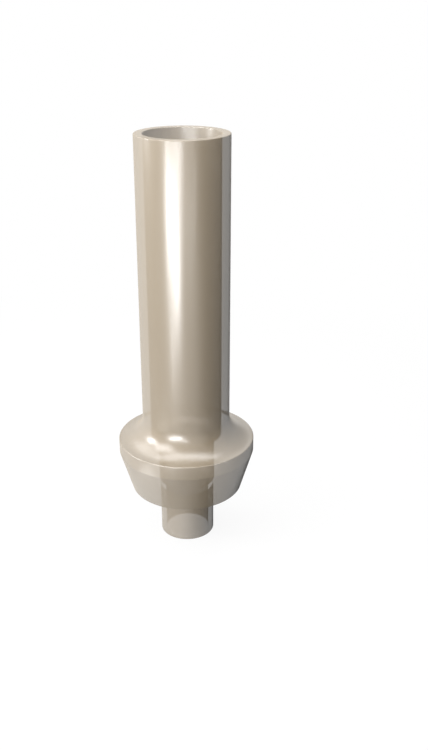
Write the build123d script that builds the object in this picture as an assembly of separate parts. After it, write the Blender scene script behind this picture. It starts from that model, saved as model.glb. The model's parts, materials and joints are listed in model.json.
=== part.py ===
from build123d import *

import os
from math import radians, tan

# Castable dental abutment, turned as one piece of see-through plastic
# A thin chimney stands on a flared collar, a short spigot plugs into the implant, and a stepped
# bore takes the retaining screw from end to end. Sizes are in millimetres and +Z points out of
# the gum, towards the crown. The origin is the centre of the platform seat.

# Stepped screw bore, from the spigot end upwards
SHANK_BORE_DIAMETER = 1.6
SCREW_SEAT_WIDTH = 0.23
SCREW_SEAT_TOP = 0.22
ACCESS_STEP_WIDTH = 0.27
ACCESS_STEP_TOP = 2.11
BORE_CONE_ANGLE = 120.0

# Walls round the bore
SPIGOT_WALL = 0.2
CHIMNEY_WALL = 0.3

# Collar, across its platform ring and across its band
PLATFORM_DIAMETER = 4.1
COLLAR_DIAMETER = 5.0

# Heights of the outside, each counted from the end of the one before it
SPIGOT_LENGTH = 2.0
FLARE_HEIGHT = 1.5
BAND_HEIGHT = 0.5
CHIMNEY_HEIGHT = 11.0

# Broken edges, held to a share of the thin walls
EDGE_RADIUS = 0.03
LARGEST_WALL_SHARE = 0.3

# Radii that follow from the sizes above
shank_r = SHANK_BORE_DIAMETER / 2
head_r = shank_r + SCREW_SEAT_WIDTH
access_r = head_r + ACCESS_STEP_WIDTH
spigot_r = shank_r + SPIGOT_WALL
chimney_r = access_r + CHIMNEY_WALL
platform_r = PLATFORM_DIAMETER / 2
collar_r = COLLAR_DIAMETER / 2
cove_r = collar_r - chimney_r

# Levels that follow from the sizes above, with the platform seat at zero
platform_z = 0.0
spigot_end_z = platform_z - SPIGOT_LENGTH
band_z = platform_z + FLARE_HEIGHT
rim_z = band_z + BAND_HEIGHT
cove_top_z = rim_z + cove_r
chimney_top_z = rim_z + CHIMNEY_HEIGHT


def cone_height(width):
    """Height of a bore cone whose ring is this wide."""
    return width / tan(radians(BORE_CONE_ANGLE / 2))


def draw_outside():
    """Outside of the half section, from the spigot end up to the chimney mouth."""
    Polyline(
        (shank_r, spigot_end_z),
        (spigot_r, spigot_end_z),
        (spigot_r, platform_z),
        (platform_r, platform_z),
        (collar_r, band_z),
        (collar_r, rim_z),
    )
    RadiusArc((collar_r, rim_z), (chimney_r, cove_top_z), cove_r)
    Polyline(
        (chimney_r, cove_top_z),
        (chimney_r, chimney_top_z),
        (access_r, chimney_top_z),
    )


def draw_bore():
    """Stepped bore of the half section, from the chimney mouth down to the spigot end."""
    Polyline(
        (access_r, chimney_top_z),
        (access_r, ACCESS_STEP_TOP),
        (head_r, ACCESS_STEP_TOP - cone_height(ACCESS_STEP_WIDTH)),
        (head_r, SCREW_SEAT_TOP),
        (shank_r, SCREW_SEAT_TOP - cone_height(SCREW_SEAT_WIDTH)),
        (shank_r, spigot_end_z),
    )


def break_edges(section):
    """Round the outer corners of the section where the part would otherwise be sharp."""
    spigot_edge = min(EDGE_RADIUS, SPIGOT_WALL * LARGEST_WALL_SHARE)
    chimney_edge = min(EDGE_RADIUS, CHIMNEY_WALL * LARGEST_WALL_SHARE)
    corners = [
        (shank_r, spigot_end_z, spigot_edge),
        (spigot_r, spigot_end_z, spigot_edge),
        (platform_r, platform_z, EDGE_RADIUS),
        (collar_r, band_z, EDGE_RADIUS),
        (collar_r, rim_z, EDGE_RADIUS),
        (chimney_r, chimney_top_z, chimney_edge),
        (access_r, chimney_top_z, chimney_edge),
    ]
    for radius, level, edge in corners:
        fillet(section.vertices().sort_by_distance((radius, level))[0], edge)


def abutment_sleeve():
    """The whole piece: its half section, turned once round the axis."""
    with BuildPart() as sleeve:
        with BuildSketch(Plane.XZ) as section:
            with BuildLine():
                draw_outside()
                draw_bore()
            make_face()
            break_edges(section)
        revolve(axis=Axis.Z)
    return sleeve.part


os.makedirs("parts", exist_ok=True)
export_step(abutment_sleeve(), "parts/abutment_sleeve.step")
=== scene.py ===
"""Looks of a castable dental abutment: one turned sleeve of smoky see-through plastic.

The sleeve is modelled from its half section in millimetres, spun round the bore axis, and
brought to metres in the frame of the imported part. The origin is the centre of the platform
seat, and +Z points along the bore towards the chimney's mouth.
"""

import json
import logging
import math
from dataclasses import dataclass
from enum import Enum

import bpy
from mathutils import Matrix, Vector

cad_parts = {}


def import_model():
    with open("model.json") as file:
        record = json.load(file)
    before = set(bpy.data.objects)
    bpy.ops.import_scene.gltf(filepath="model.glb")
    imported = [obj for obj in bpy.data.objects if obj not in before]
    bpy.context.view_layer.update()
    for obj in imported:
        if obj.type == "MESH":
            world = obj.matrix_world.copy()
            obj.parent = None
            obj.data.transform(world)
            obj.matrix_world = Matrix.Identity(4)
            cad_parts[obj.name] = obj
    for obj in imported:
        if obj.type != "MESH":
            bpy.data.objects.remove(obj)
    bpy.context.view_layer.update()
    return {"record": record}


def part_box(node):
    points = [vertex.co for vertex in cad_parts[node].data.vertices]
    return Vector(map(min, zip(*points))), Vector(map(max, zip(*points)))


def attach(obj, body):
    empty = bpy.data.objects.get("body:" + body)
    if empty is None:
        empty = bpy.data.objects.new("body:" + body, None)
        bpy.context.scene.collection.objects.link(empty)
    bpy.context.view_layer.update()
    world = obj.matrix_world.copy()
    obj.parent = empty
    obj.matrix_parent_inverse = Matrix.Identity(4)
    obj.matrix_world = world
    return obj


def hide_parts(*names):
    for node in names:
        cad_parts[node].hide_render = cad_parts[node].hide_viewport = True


LOG = logging.getLogger("abutment_scene")
NODE = "abutment_sleeve"
MM = 0.001
MAT_LIFT = 0.02
WHITE = (1.0, 1.0, 1.0, 1.0)


def select_nothing() -> None:
    """Deselect every object, so that the next operator works on new things alone."""
    for thing in bpy.context.selected_objects:
        thing.select_set(False)


def draw_chain(name: str, points: list[tuple[float, float, float]]) -> bpy.types.Object:
    """Draw a chain of edges, one extruded vertex after another, and select all of it.

    Args:
        name: Name of the new object and of its mesh.
        points: Corners of the chain, in millimetres.

    Returns:
        The new object, still in edit mode.
    """
    select_nothing()
    bpy.ops.mesh.primitive_plane_add(size=1.0, location=(0, 0, 0))
    chain = bpy.context.object
    chain.name = chain.data.name = name
    bpy.ops.object.mode_set(mode="EDIT")
    bpy.ops.mesh.merge(type="CENTER")
    bpy.ops.transform.translate(value=points[0])
    for before, after in zip(points, points[1:]):
        step = tuple(b - a for a, b in zip(before, after))
        bpy.ops.mesh.extrude_vertices_move(TRANSFORM_OT_translate={"value": step})
    bpy.ops.mesh.select_all(action="SELECT")
    return chain


def direction(azimuth: float, elevation: float = 0.0) -> Vector:
    """Work out in which direction something lies, seen from the sleeve.

    Args:
        azimuth: Degrees from the photograph's side, positive to its right.
        elevation: Degrees above the level.

    Returns:
        The direction, of length one.
    """
    turn, rise = math.radians(azimuth), math.radians(elevation)
    return Vector(
        (
            math.sin(turn) * math.cos(rise),
            -math.cos(turn) * math.cos(rise),
            math.sin(rise),
        )
    )


def add_area_lamp(name: str, width: float, height: float, energy: float) -> bpy.types.Object:
    """Add an oblong lamp that the camera doesn't see.

    Args:
        name: Name of the lamp.
        width: Size along the lamp's own X, in metres.
        height: Size along the lamp's own Y, in metres.
        energy: Power in watts.

    Returns:
        The lamp object, not placed yet.
    """
    data = bpy.data.lights.new(name, "AREA")
    data.shape = "RECTANGLE"
    data.size = width
    data.size_y = height
    data.energy = energy
    lamp = bpy.data.objects.new(name, data)
    bpy.context.collection.objects.link(lamp)
    lamp.visible_camera = False
    return lamp


@dataclass(frozen=True)
class SleeveSizes:
    """Radii and levels of the turned wall, in millimetres, with the platform seat at zero."""

    shank_r: float
    head_r: float
    access_r: float
    spigot_r: float
    chimney_r: float
    collar_r: float
    spigot_end: float
    chimney_top: float
    seat_top: float = 0.22
    step_top: float = 2.11
    cone_angle: float = 120.0
    platform_r: float = 2.05
    flare_height: float = 1.5
    band_height: float = 0.5
    edge_radius: float = 0.03

    @classmethod
    def from_frame(cls, record: dict, box: tuple) -> "SleeveSizes":
        """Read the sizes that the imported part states.

        Args:
            record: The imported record, whose mounts give the round sizes.
            box: Lowest and highest corner of the sleeve's node, in metres.

        Returns:
            The sizes in millimetres.
        """
        radius = {m["name"]: m["dims"].get("r_mm") for m in record["mounts"]}
        lowest, highest = box
        return cls(
            shank_r=radius["screw_shank_hole"],
            head_r=radius["screw_head_pocket"],
            access_r=radius["driver_access"],
            spigot_r=radius["spigot"],
            chimney_r=radius["chimney"],
            collar_r=highest[0] / MM,
            spigot_end=lowest[2] / MM,
            chimney_top=highest[2] / MM,
        )

    @property
    def rim(self) -> float:
        """Work out the level of the collar's upper edge.

        Returns:
            The level in millimetres.
        """
        return self.flare_height + self.band_height

    @property
    def cove_radius(self) -> float:
        """Work out the radius of the hollow quarter round from the collar to the chimney.

        Returns:
            The radius in millimetres.
        """
        return self.collar_r - self.chimney_r

    def cone_height(self, width: float) -> float:
        """Work out how high a cone in the bore is.

        Args:
            width: Width of the cone's ring, from its inner to its outer radius.

        Returns:
            The height in millimetres.
        """
        return width / math.tan(math.radians(self.cone_angle / 2))


@dataclass
class AbutmentSleeve:
    """The whole turned piece, modelled as a half section that is spun once round the axis."""

    sizes: SleeveSizes
    steps_round: int = 256
    steps_in_cove: int = 24
    steps_in_edge: int = 4
    smooth_angle: float = 35.0
    same_place: float = 0.001

    def section(self) -> list[tuple[float, float]]:
        """List the corners of the half section, with the cove's arc cut in steps.

        Returns:
            The corners as (radius, level), the last at the same place as the first.
        """
        s = self.sizes
        foot = [
            (s.shank_r, s.spigot_end),
            (s.spigot_r, s.spigot_end),
            (s.spigot_r, 0.0),
            (s.platform_r, 0.0),
            (s.collar_r, s.flare_height),
            (s.collar_r, s.rim),
        ]
        quarter = [math.pi / 2 * k / self.steps_in_cove for k in range(1, self.steps_in_cove + 1)]
        cove = [
            (
                s.collar_r - s.cove_radius * math.sin(turn),
                s.rim + s.cove_radius * (1 - math.cos(turn)),
            )
            for turn in quarter
        ]
        bore = [
            (s.chimney_r, s.chimney_top),
            (s.access_r, s.chimney_top),
            (s.access_r, s.step_top),
            (s.head_r, s.step_top - s.cone_height(s.access_r - s.head_r)),
            (s.head_r, s.seat_top),
            (s.shank_r, s.seat_top - s.cone_height(s.head_r - s.shank_r)),
            (s.shank_r, s.spigot_end),
        ]
        return foot + cove + bore

    def broken_edges(self) -> list[tuple[float, float, float]]:
        """List the corners of the section that stick out and are rounded.

        Returns:
            The corners as (radius, level, inner angle in degrees).
        """
        s = self.sizes
        flare = math.degrees(math.atan2(s.flare_height, s.collar_r - s.platform_r))
        return [
            (s.shank_r, s.spigot_end, 90.0),
            (s.spigot_r, s.spigot_end, 90.0),
            (s.platform_r, 0.0, 180.0 - flare),
            (s.collar_r, s.flare_height, 90.0 + flare),
            (s.collar_r, s.rim, 90.0),
            (s.chimney_r, s.chimney_top, 90.0),
            (s.access_r, s.chimney_top, 90.0),
        ]

    def draw_section(self) -> bpy.types.Object:
        """Draw the half section as a closed chain of edges.

        Returns:
            The new object, still in edit mode.
        """
        corners = [(radius, 0.0, level) for radius, level in self.section()]
        sleeve = draw_chain("turned_sleeve", corners)
        bpy.ops.mesh.remove_doubles(threshold=self.same_place)
        return sleeve

    def select_ring(self, sleeve: bpy.types.Object, radius: float, level: float) -> None:
        """Select only the vertices at this radius and level.

        Args:
            sleeve: The object, in edit mode.
            radius: Distance from the axis in millimetres.
            level: Height in millimetres.
        """
        bpy.ops.mesh.select_all(action="DESELECT")
        bpy.ops.object.mode_set(mode="OBJECT")
        for vertex in sleeve.data.vertices:
            away = math.hypot(vertex.co.x, vertex.co.y) - radius
            vertex.select = math.hypot(away, vertex.co.z - level) < self.same_place
        bpy.ops.object.mode_set(mode="EDIT")

    def break_edges(self, sleeve: bpy.types.Object) -> None:
        """Round the corners that stick out of the drawn section by the part's edge radius.

        Args:
            sleeve: The object, in edit mode.
        """
        for radius, level, inner_angle in self.broken_edges():
            self.select_ring(sleeve, radius, level)
            reach = self.sizes.edge_radius / math.tan(math.radians(inner_angle / 2))
            bpy.ops.mesh.bevel(
                offset_type="OFFSET",
                offset=reach,
                segments=self.steps_in_edge,
                profile=0.5,
                affect="VERTICES",
            )

    def build(self) -> bpy.types.Object:
        """Model the sleeve: section, broken edges, one full turn, and smooth shading.

        Returns:
            The finished piece, in metres.
        """
        sleeve = self.draw_section()
        self.break_edges(sleeve)
        bpy.ops.mesh.select_all(action="SELECT")
        bpy.ops.mesh.spin(
            steps=self.steps_round,
            angle=math.tau,
            center=(0, 0, 0),
            axis=(0, 0, 1),
        )
        bpy.ops.mesh.select_all(action="SELECT")
        bpy.ops.mesh.remove_doubles(threshold=self.same_place)
        bpy.ops.mesh.normals_make_consistent(inside=False)
        bpy.ops.transform.resize(value=(MM, MM, MM), center_override=(0, 0, 0))
        bpy.ops.object.mode_set(mode="OBJECT")
        bpy.ops.object.shade_smooth_by_angle(angle=math.radians(self.smooth_angle))
        weighted = sleeve.modifiers.new("even_normals", "WEIGHTED_NORMAL")
        weighted.keep_sharp = True
        bpy.ops.object.modifier_apply(modifier=weighted.name)
        return sleeve


@dataclass(frozen=True)
class MouldedSurface:
    """Node group with the small unevenness of a turned and polished plastic surface.

    It takes a position in millimetres, and gives a cloudiness mask and a height of fine
    turning marks that run round the bore axis. Sizes are in millimetres, and the details are
    how many finer layers each pattern has.
    """

    name: str = "moulded_surface"
    cloud_size: float = 1.6
    cloud_detail: float = 3.0
    marks_pitch: float = 0.12
    marks_detail: float = 2.0

    def build(self) -> bpy.types.NodeTree:
        """Make the group.

        Returns:
            The node group, with the sockets Position, Cloud and Marks.
        """
        group = bpy.data.node_groups.new(self.name, "ShaderNodeTree")
        faces = group.interface
        faces.new_socket("Position", in_out="INPUT", socket_type="NodeSocketVector")
        faces.new_socket("Cloud", in_out="OUTPUT", socket_type="NodeSocketFloat")
        faces.new_socket("Marks", in_out="OUTPUT", socket_type="NodeSocketFloat")
        nodes, links = group.nodes, group.links
        taken = nodes.new("NodeGroupInput")
        given = nodes.new("NodeGroupOutput")
        cloud = nodes.new("ShaderNodeTexNoise")
        cloud.inputs["Scale"].default_value = 1.0 / self.cloud_size
        cloud.inputs["Detail"].default_value = self.cloud_detail
        links.new(taken.outputs["Position"], cloud.inputs["Vector"])
        links.new(cloud.outputs["Fac"], given.inputs["Cloud"])
        split = nodes.new("ShaderNodeSeparateXYZ")
        flat = nodes.new("ShaderNodeCombineXYZ")
        reach = nodes.new("ShaderNodeVectorMath")
        reach.operation = "LENGTH"
        ring = nodes.new("ShaderNodeCombineXYZ")
        marks = nodes.new("ShaderNodeTexNoise")
        marks.inputs["Scale"].default_value = 1.0 / self.marks_pitch
        marks.inputs["Detail"].default_value = self.marks_detail
        links.new(taken.outputs["Position"], split.inputs[0])
        links.new(split.outputs["X"], flat.inputs["X"])
        links.new(split.outputs["Y"], flat.inputs["Y"])
        links.new(flat.outputs[0], reach.inputs[0])
        links.new(reach.outputs["Value"], ring.inputs["X"])
        links.new(split.outputs["Z"], ring.inputs["Z"])
        links.new(ring.outputs[0], marks.inputs["Vector"])
        links.new(marks.outputs["Fac"], given.inputs["Marks"])
        return group


@dataclass(frozen=True)
class SmokyPlastic:
    """Smoky see-through plastic, polished.

    The see-through share counts for one crossing of the surface, and the share of lamp light
    that passes for one crossing too. Where the surface turns away from the viewer, past
    edge_start, more plastic is looked through: it is denser there and its gloss is weaker.
    Faces seen from inside get painted shade: their base colour is multiplied by the painted
    inside shade, so the bore looks darker than its lighting makes it. The roughness stays above
    0.274, because a denoiser treats a smoother finish as a mirror and leaves specks where the
    two meet.
    Marks height is in millimetres.
    """

    name: str = "smoky_clear_plastic"
    tint: tuple[float, float, float] = (0.335, 0.268, 0.182)
    cloudy_tint: tuple[float, float, float] = (0.351, 0.282, 0.192)
    see_through: float = 0.41
    edge_see_through: float = 0.15
    light_passed: float = 0.7
    roughness: tuple[float, float] = (0.278, 0.3)
    index: float = 1.7
    gloss: float = 1.0
    edge_gloss: float = 0.25
    edge_start: float = 0.65
    # Painted shade: base colour multiplier for faces seen from inside.
    painted_inside_shade: float = 0.12
    marks_height: float = 0.0006

    def build(self) -> bpy.types.Material:
        """Make the material.

        Returns:
            The new material.
        """
        material = bpy.data.materials.new(self.name)
        material.use_nodes = True
        tree = material.node_tree
        nodes, links = tree.nodes, tree.links
        plastic = nodes["Principled BSDF"]
        plastic.inputs["IOR"].default_value = self.index
        grazing = nodes.new("ShaderNodeLayerWeight")
        for socket, facing, edge in (
            ("Alpha", 1.0 - self.see_through, 1.0 - self.edge_see_through),
            ("Specular IOR Level", self.gloss, self.edge_gloss),
        ):
            ramp = nodes.new("ShaderNodeMapRange")
            ramp.interpolation_type = "SMOOTHSTEP"
            ramp.inputs["From Min"].default_value = self.edge_start
            ramp.inputs["To Min"].default_value = facing
            ramp.inputs["To Max"].default_value = edge
            links.new(grazing.outputs["Facing"], ramp.inputs["Value"])
            links.new(ramp.outputs["Result"], plastic.inputs[socket])
        place = nodes.new("ShaderNodeTexCoord")
        in_mm = nodes.new("ShaderNodeVectorMath")
        in_mm.operation = "SCALE"
        in_mm.inputs["Scale"].default_value = 1.0 / MM
        surface = nodes.new("ShaderNodeGroup")
        surface.node_tree = MouldedSurface().build()
        links.new(place.outputs["Object"], in_mm.inputs[0])
        links.new(in_mm.outputs[0], surface.inputs["Position"])
        tints = nodes.new("ShaderNodeMix")
        tints.data_type = "RGBA"
        tints.inputs["A"].default_value = (*self.tint, 1.0)
        tints.inputs["B"].default_value = (*self.cloudy_tint, 1.0)
        links.new(surface.outputs["Cloud"], tints.inputs["Factor"])
        # Painted shade: faces seen from inside have their base colour darkened by the inside shade.
        shaded = nodes.new("ShaderNodeMix")
        shaded.data_type = "RGBA"
        shaded.blend_type = "MULTIPLY"
        shaded.inputs["B"].default_value = (*(self.painted_inside_shade,) * 3, 1.0)
        sides = nodes.new("ShaderNodeNewGeometry")
        links.new(sides.outputs["Backfacing"], shaded.inputs["Factor"])
        links.new(tints.outputs["Result"], shaded.inputs["A"])
        links.new(shaded.outputs["Result"], plastic.inputs["Base Color"])
        dulled = nodes.new("ShaderNodeMapRange")
        dulled.inputs["To Min"].default_value = self.roughness[0]
        dulled.inputs["To Max"].default_value = self.roughness[1]
        links.new(surface.outputs["Cloud"], dulled.inputs["Value"])
        links.new(dulled.outputs["Result"], plastic.inputs["Roughness"])
        bump = nodes.new("ShaderNodeBump")
        bump.inputs["Distance"].default_value = self.marks_height * MM
        links.new(surface.outputs["Marks"], bump.inputs["Height"])
        links.new(bump.outputs["Normal"], plastic.inputs["Normal"])
        passed = nodes.new("ShaderNodeBsdfTransparent")
        passed.inputs["Color"].default_value = (*(self.light_passed,) * 3, 1.0)
        path = nodes.new("ShaderNodeLightPath")
        mix = nodes.new("ShaderNodeMixShader")
        links.new(path.outputs["Is Shadow Ray"], mix.inputs[0])
        links.new(plastic.outputs[0], mix.inputs[1])
        links.new(passed.outputs[0], mix.inputs[2])
        links.new(mix.outputs[0], nodes["Material Output"].inputs["Surface"])
        return material


@dataclass(frozen=True)
class PhotoCamera:
    """The camera of the photograph, level from side to side, looking down at the sleeve.

    Lengths are in millimetres, angles in degrees, and the focal length is in pixels of an
    image this many pixels high. Only what lies between nearest and farthest is shown.
    """

    focal_pixels: float = 885.2
    image_height: float = 750.0
    distance: float = 29.357
    height: float = 17.453
    pitch: float = 23.943
    yaw: float = 2.009
    sensor: float = 36.0
    nearest: float = 1.0
    farthest: float = 100000.0

    def build(self) -> bpy.types.Object:
        """Add the camera and make it the scene's own.

        Returns:
            The camera object.
        """
        pitch, yaw = math.radians(self.pitch), math.radians(self.yaw)
        forward = Vector(
            (
                math.sin(yaw) * math.cos(pitch),
                math.cos(yaw) * math.cos(pitch),
                -math.sin(pitch),
            )
        )
        right = Vector((math.cos(yaw), -math.sin(yaw), 0.0))
        up = right.cross(forward)
        data = bpy.data.cameras.new("photo_camera")
        data.sensor_width = self.sensor
        data.lens = self.focal_pixels * self.sensor / self.image_height
        data.clip_start = self.nearest * MM
        data.clip_end = self.farthest * MM
        camera = bpy.data.objects.new("photo_camera", data)
        bpy.context.collection.objects.link(camera)
        turn = Matrix((right, up, -forward)).transposed().to_4x4()
        place = Vector((0.0, -self.distance * MM, self.height * MM))
        camera.matrix_world = Matrix.Translation(place) @ turn
        bpy.context.scene.camera = camera
        return camera


@dataclass(frozen=True)
class SoftBox:
    """A square or oblong studio lamp that looks at the middle of the sleeve.

    Azimuth and elevation are in degrees, lengths in millimetres, and level is the brightness
    that the lamp gives a white card facing it.
    """

    name: str
    azimuth: float
    elevation: float
    width: float
    height: float
    level: float
    distance: float = 60.0
    aim_level: float = 6.0

    def build(self) -> bpy.types.Object:
        """Add the lamp.

        Returns:
            The lamp object.
        """
        away = direction(self.azimuth, self.elevation)
        energy = self.level * (math.pi * self.distance * MM) ** 2
        lamp = add_area_lamp(self.name, self.width * MM, self.height * MM, energy)
        aim = Vector((0.0, 0.0, self.aim_level * MM))
        turn = away.to_track_quat("Z", "Y").to_matrix().to_4x4()
        lamp.matrix_world = Matrix.Translation(aim + away * self.distance * MM) @ turn
        return lamp


@dataclass(frozen=True)
class FloorStrip:
    """A narrow lamp that lies on the floor, reaches away from the sleeve, and shines up.

    Azimuth and spread are in degrees, near and far in millimetres from the bore axis, and
    glow is the lamp's radiance. The lift keeps the lamp clear of the floor.
    """

    name: str
    floor_level: float
    azimuth: float
    near: float
    far: float
    spread: float
    glow: float
    lift: float = 0.01

    def build(self) -> bpy.types.Object:
        """Add the lamp.

        Returns:
            The lamp object.
        """
        away = direction(self.azimuth)
        down = Vector((0.0, 0.0, -1.0))
        middle = (self.near + self.far) / 2
        width = 2 * middle * math.tan(math.radians(self.spread / 2)) * MM
        length = (self.far - self.near) * MM
        lamp = add_area_lamp(self.name, width, length, self.glow * math.pi * width * length)
        turn = Matrix((away.cross(down), away, down)).transposed().to_4x4()
        place = away * middle * MM - down * (self.floor_level + self.lift) * MM
        lamp.matrix_world = Matrix.Translation(place) @ turn
        return lamp


class Seer(Enum):
    """Rays that see the white surroundings, named as the Light Path node names them."""

    CAMERA = "Is Camera Ray"
    GLOSSY = "Is Glossy Ray"
    TRANSMISSION = "Is Transmission Ray"

    @classmethod
    def any_of(cls, tree: bpy.types.NodeTree) -> bpy.types.NodeSocket:
        """Add nodes that are 1 for these rays and 0 for every other ray.

        Args:
            tree: The node tree that gets the nodes.

        Returns:
            The output socket.
        """
        path = tree.nodes.new("ShaderNodeLightPath")
        either = path.outputs[cls.CAMERA.value]
        for kind in (cls.GLOSSY, cls.TRANSMISSION):
            most = tree.nodes.new("ShaderNodeMath")
            most.operation = "MAXIMUM"
            tree.links.new(either, most.inputs[0])
            tree.links.new(path.outputs[kind.value], most.inputs[1])
            either = most.outputs[0]
        return either


@dataclass(frozen=True)
class BlackCard:
    """A matt black sheet, curved round the sleeve's right side, that shows in gloss alone.

    It paints dark reflections: a painted shade in the gloss of the shaded side, where the white
    room would show. The camera, diffuse rays and shadow rays don't see it. The sheet is an edge
    turned round the bore axis: start and end are its corners as (radius, level), in
    millimetres, and it reaches from the first to the last azimuth, in degrees. It is white at
    its first azimuth and turns black over the fade, so that its edge has no sharp mirror image.
    Black is the share of light that the sheet still gives back.
    """

    name: str
    start: tuple[float, float]
    end: tuple[float, float]
    first: float
    last: float
    fade: float
    black: float = 0.02
    steps: int = 32

    def build(self) -> bpy.types.Object:
        """Make the card by turning its edge round the sleeve's axis.

        Returns:
            The card object.
        """
        out = direction(self.first)
        corners = [
            (out.x * radius, out.y * radius, level) for radius, level in (self.start, self.end)
        ]
        card = draw_chain(self.name, corners)
        bpy.ops.mesh.spin(
            steps=self.steps,
            angle=math.radians(self.first - self.last),
            center=(0, 0, 0),
            axis=(0, 0, 1),
        )
        bpy.ops.mesh.select_all(action="SELECT")
        bpy.ops.transform.resize(value=(MM, MM, MM), center_override=(0, 0, 0))
        bpy.ops.object.mode_set(mode="OBJECT")
        card.data.materials.append(self.matt_black())
        # Hidden from the camera, diffuse rays and shadows: the card only paints dark reflections.
        card.visible_camera = card.visible_diffuse = card.visible_shadow = False
        return card

    def matt_black(self) -> bpy.types.Material:
        """Make the card's material, as white as the room at the first azimuth.

        Returns:
            The new material.
        """
        material = bpy.data.materials.new(f"matt_{self.name}")
        material.use_nodes = True
        material.cycles.emission_sampling = "NONE"
        nodes, links = material.node_tree.nodes, material.node_tree.links
        matt = nodes["Principled BSDF"]
        matt.inputs["Base Color"].default_value = (*(self.black,) * 3, 1.0)
        matt.inputs["Roughness"].default_value = 1.0
        matt.inputs["Specular IOR Level"].default_value = 0.0
        matt.inputs["Emission Color"].default_value = WHITE
        place = nodes.new("ShaderNodeTexCoord")
        split = nodes.new("ShaderNodeSeparateXYZ")
        front = nodes.new("ShaderNodeMath")
        front.operation = "MULTIPLY"
        front.inputs[1].default_value = -1.0
        azimuth = nodes.new("ShaderNodeMath")
        azimuth.operation = "ARCTAN2"
        ramp = nodes.new("ShaderNodeMapRange")
        ramp.interpolation_type = "SMOOTHSTEP"
        ramp.inputs["From Min"].default_value = math.radians(self.first)
        ramp.inputs["From Max"].default_value = math.radians(self.first + self.fade)
        ramp.inputs["To Min"].default_value = 1.0
        ramp.inputs["To Max"].default_value = 0.0
        links.new(place.outputs["Object"], split.inputs[0])
        links.new(split.outputs["Y"], front.inputs[0])
        links.new(split.outputs["X"], azimuth.inputs[0])
        links.new(front.outputs[0], azimuth.inputs[1])
        links.new(azimuth.outputs[0], ramp.inputs["Value"])
        links.new(ramp.outputs["Result"], matt.inputs["Emission Strength"])
        return material


@dataclass(frozen=True)
class Studio:
    """White floor and surroundings, the lamps, and black cards on the shaded side.

    The floor shows its own white paper near the sleeve, so that the soft shadow stays, and
    fades to even white from fade_start to fade_end, in millimetres from the bore axis. The black
    cards paint dark reflections into the gloss of the shaded side.
    """

    lamps: tuple[SoftBox | FloorStrip, ...]
    cards: tuple[BlackCard, ...]
    floor_level: float
    floor_radius: float = 3000.0
    floor_sides: int = 64
    paper_white: float = 0.8
    paper_share: float = 0.1
    fade_start: float = 8.0
    fade_end: float = 30.0

    def build_world(self) -> None:
        """Add white surroundings that can be looked at, but that add no diffuse light."""
        world = bpy.data.worlds.new("studio_surroundings")
        world.use_nodes = True
        tree = world.node_tree
        tree.nodes.clear()
        shown = tree.nodes.new("ShaderNodeBackground")
        shown.inputs["Color"].default_value = WHITE
        out = tree.nodes.new("ShaderNodeOutputWorld")
        tree.links.new(Seer.any_of(tree), shown.inputs["Strength"])
        tree.links.new(shown.outputs[0], out.inputs["Surface"])
        bpy.context.scene.world = world

    def paper(self) -> bpy.types.Material:
        """Make the floor's material.

        Returns:
            The new material.
        """
        material = bpy.data.materials.new("white_paper")
        material.use_nodes = True
        tree = material.node_tree
        nodes, links = tree.nodes, tree.links
        nodes.clear()
        place = nodes.new("ShaderNodeTexCoord")
        reach = nodes.new("ShaderNodeVectorMath")
        reach.operation = "LENGTH"
        fade = nodes.new("ShaderNodeMapRange")
        fade.interpolation_type = "SMOOTHSTEP"
        fade.inputs["From Min"].default_value = self.fade_start * MM
        fade.inputs["From Max"].default_value = self.fade_end * MM
        fade.inputs["To Min"].default_value = 1.0 - self.paper_share
        fade.inputs["To Max"].default_value = 1.0
        sheet = nodes.new("ShaderNodeBsdfDiffuse")
        sheet.inputs["Color"].default_value = (*(self.paper_white,) * 3, 1.0)
        even = nodes.new("ShaderNodeEmission")
        even.inputs["Color"].default_value = WHITE
        unlit = nodes.new("ShaderNodeEmission")
        unlit.inputs["Strength"].default_value = 0.0
        lifted = nodes.new("ShaderNodeMixShader")
        mix = nodes.new("ShaderNodeMixShader")
        out = nodes.new("ShaderNodeOutputMaterial")
        links.new(place.outputs["Object"], reach.inputs[0])
        links.new(reach.outputs["Value"], fade.inputs["Value"])
        links.new(fade.outputs["Result"], lifted.inputs[0])
        links.new(sheet.outputs[0], lifted.inputs[1])
        links.new(even.outputs[0], lifted.inputs[2])
        links.new(Seer.any_of(tree), mix.inputs[0])
        links.new(unlit.outputs[0], mix.inputs[1])
        links.new(lifted.outputs[0], mix.inputs[2])
        links.new(mix.outputs[0], out.inputs["Surface"])
        return material

    def build_floor(self) -> bpy.types.Object:
        """Lay the plain white floor, level with the sleeve's foot.

        Returns:
            The floor object.
        """
        select_nothing()
        bpy.ops.mesh.primitive_circle_add(
            vertices=self.floor_sides,
            radius=self.floor_radius * MM,
            fill_type="NGON",
            location=(0, 0, self.floor_level * MM),
        )
        floor = bpy.context.object
        floor.name = floor.data.name = "studio_floor"
        floor.data.materials.append(self.paper())
        return floor

    def build(self) -> None:
        """Build the surroundings, the floor, the cards and every lamp."""
        bpy.context.scene.view_settings.view_transform = "Standard"
        self.build_world()
        self.build_floor()
        for thing in self.cards + self.lamps:
            thing.build()


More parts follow.
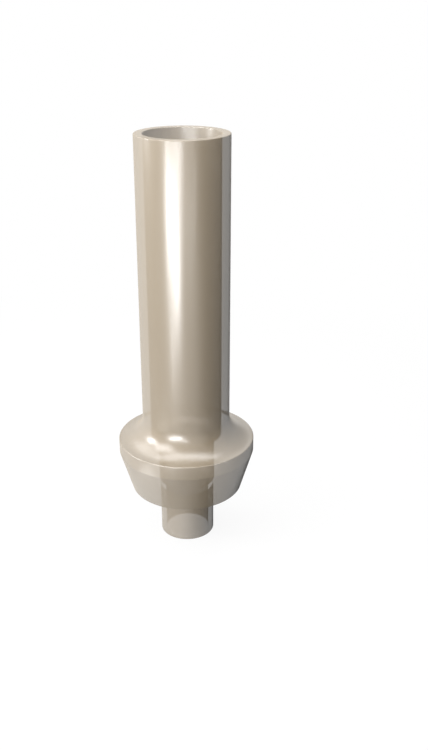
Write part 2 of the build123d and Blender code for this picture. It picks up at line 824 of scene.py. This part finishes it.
def photo_studio(floor_level: float) -> Studio:
    """Lay out the studio of the photograph.

    Args:
        floor_level: Height of the floor in millimetres.

    Returns:
        The studio, not built yet.
    """
    above = floor_level + MAT_LIFT
    lamps = (
        SoftBox("key_lamp", azimuth=-60.0, elevation=40.0, width=34.0, height=30.0, level=0.62),
        SoftBox("back_lamp", azimuth=-120.0, elevation=40.0, width=34.0, height=30.0, level=0.25),
        SoftBox("top_lamp", azimuth=0.0, elevation=89.0, width=56.0, height=56.0, level=1.35),
        SoftBox("left_lamp", azimuth=-90.0, elevation=17.0, width=15.0, height=12.0, level=0.5),
        SoftBox("low_left_lamp", azimuth=-34.0, elevation=0.0, width=9.0, height=9.0, level=0.36),
        SoftBox("low_front_lamp", azimuth=-20.0, elevation=-2.0, width=14.0, height=7.0, level=0.34),
        SoftBox("front_lamp", azimuth=-6.0, elevation=8.0, width=9.0, height=9.0, level=0.12),
        FloorStrip("long_strip", floor_level, azimuth=-16.0, near=45.0, far=100.0, spread=7.0, glow=32.0),
        FloorStrip("short_strip", floor_level, azimuth=-30.0, near=22.0, far=45.0, spread=7.0, glow=8.3),
        FloorStrip("foot_strip", floor_level, azimuth=-60.0, near=5.0, far=11.0, spread=25.0, glow=2.2),
    )
    # Black cards that paint dark reflections into the gloss of the shaded side.
    cards = (
        BlackCard(
            "reflection_darkening_card",
            start=(10.0, floor_level),
            end=(10.0, 22.0),
            first=14.0,
            last=150.0,
            fade=40.0,
        ),
        BlackCard(
            "reflection_darkening_mat",
            start=(1.0, above),
            end=(10.0, above),
            first=-25.0,
            last=150.0,
            fade=70.0,
        ),
    )
    return Studio(lamps, cards, floor_level)


def main() -> None:
    """Build the sleeve, its finish, the studio and the camera, and report the piece."""
    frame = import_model()
    sizes = SleeveSizes.from_frame(frame["record"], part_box(NODE))
    PhotoCamera().build()
    sleeve = AbutmentSleeve(sizes).build()
    sleeve.data.materials.append(SmokyPlastic().build())
    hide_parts(NODE)
    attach(sleeve, "root")
    photo_studio(sizes.spigot_end).build()
    LOG.info("%s: %d faces", sleeve.name, len(sleeve.data.polygons))


if __name__ == "__main__":
    logging.basicConfig(level=logging.INFO)
    main()
